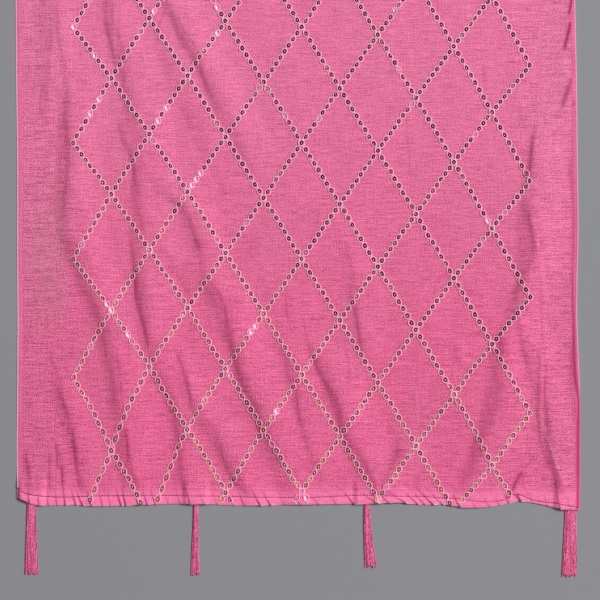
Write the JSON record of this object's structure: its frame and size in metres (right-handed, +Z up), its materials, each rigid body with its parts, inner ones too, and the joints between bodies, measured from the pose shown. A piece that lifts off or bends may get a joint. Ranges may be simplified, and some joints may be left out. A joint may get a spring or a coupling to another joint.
{
  "type": "dupatta stole",
  "caption": "Long light stole laid flat, with softly creased cloth, turned side edges, stitched puckered end hems and thread tassels tucked under each hem.",
  "frame": {"origin": "on the surface that the stole lies on, at the middle of the whole stole with its tassels", "axes": "+X to the right across the width, +Y from the near hem to the far hem along the length, +Z up from the surface"},
  "size_m": [0.5649, 2.1448, 0.0055],
  "materials": {
    "cloth": "light cotton-silk plain weave with slubs, pink, soft sheen",
    "turned_edge": "the same cloth doubled, so a little brighter",
    "hem": "the same cloth turned under and stitched, brighter and puckered",
    "tassel_thread": "twisted rayon thread, deeper pink, silky",
    "sequin": "5 mm cup sequins of metallised film, dark bronze to gold",
    "chain_thread": "pale pink embroidery thread, silky"
  },
  "bodies": {
    "root": {"cloth_panel": "cloth", "side_edge_left": "turned_edge", "side_edge_right": "turned_edge", "hem_near": "hem", "hem_far": "hem", "tassel_near_1": "tassel_thread", "tassel_near_2": "tassel_thread", "tassel_near_3": "tassel_thread", "tassel_near_4": "tassel_thread", "tassel_far_1": "tassel_thread", "tassel_far_2": "tassel_thread", "tassel_far_3": "tassel_thread", "tassel_far_4": "tassel_thread"}
  },
  "joints": []
}
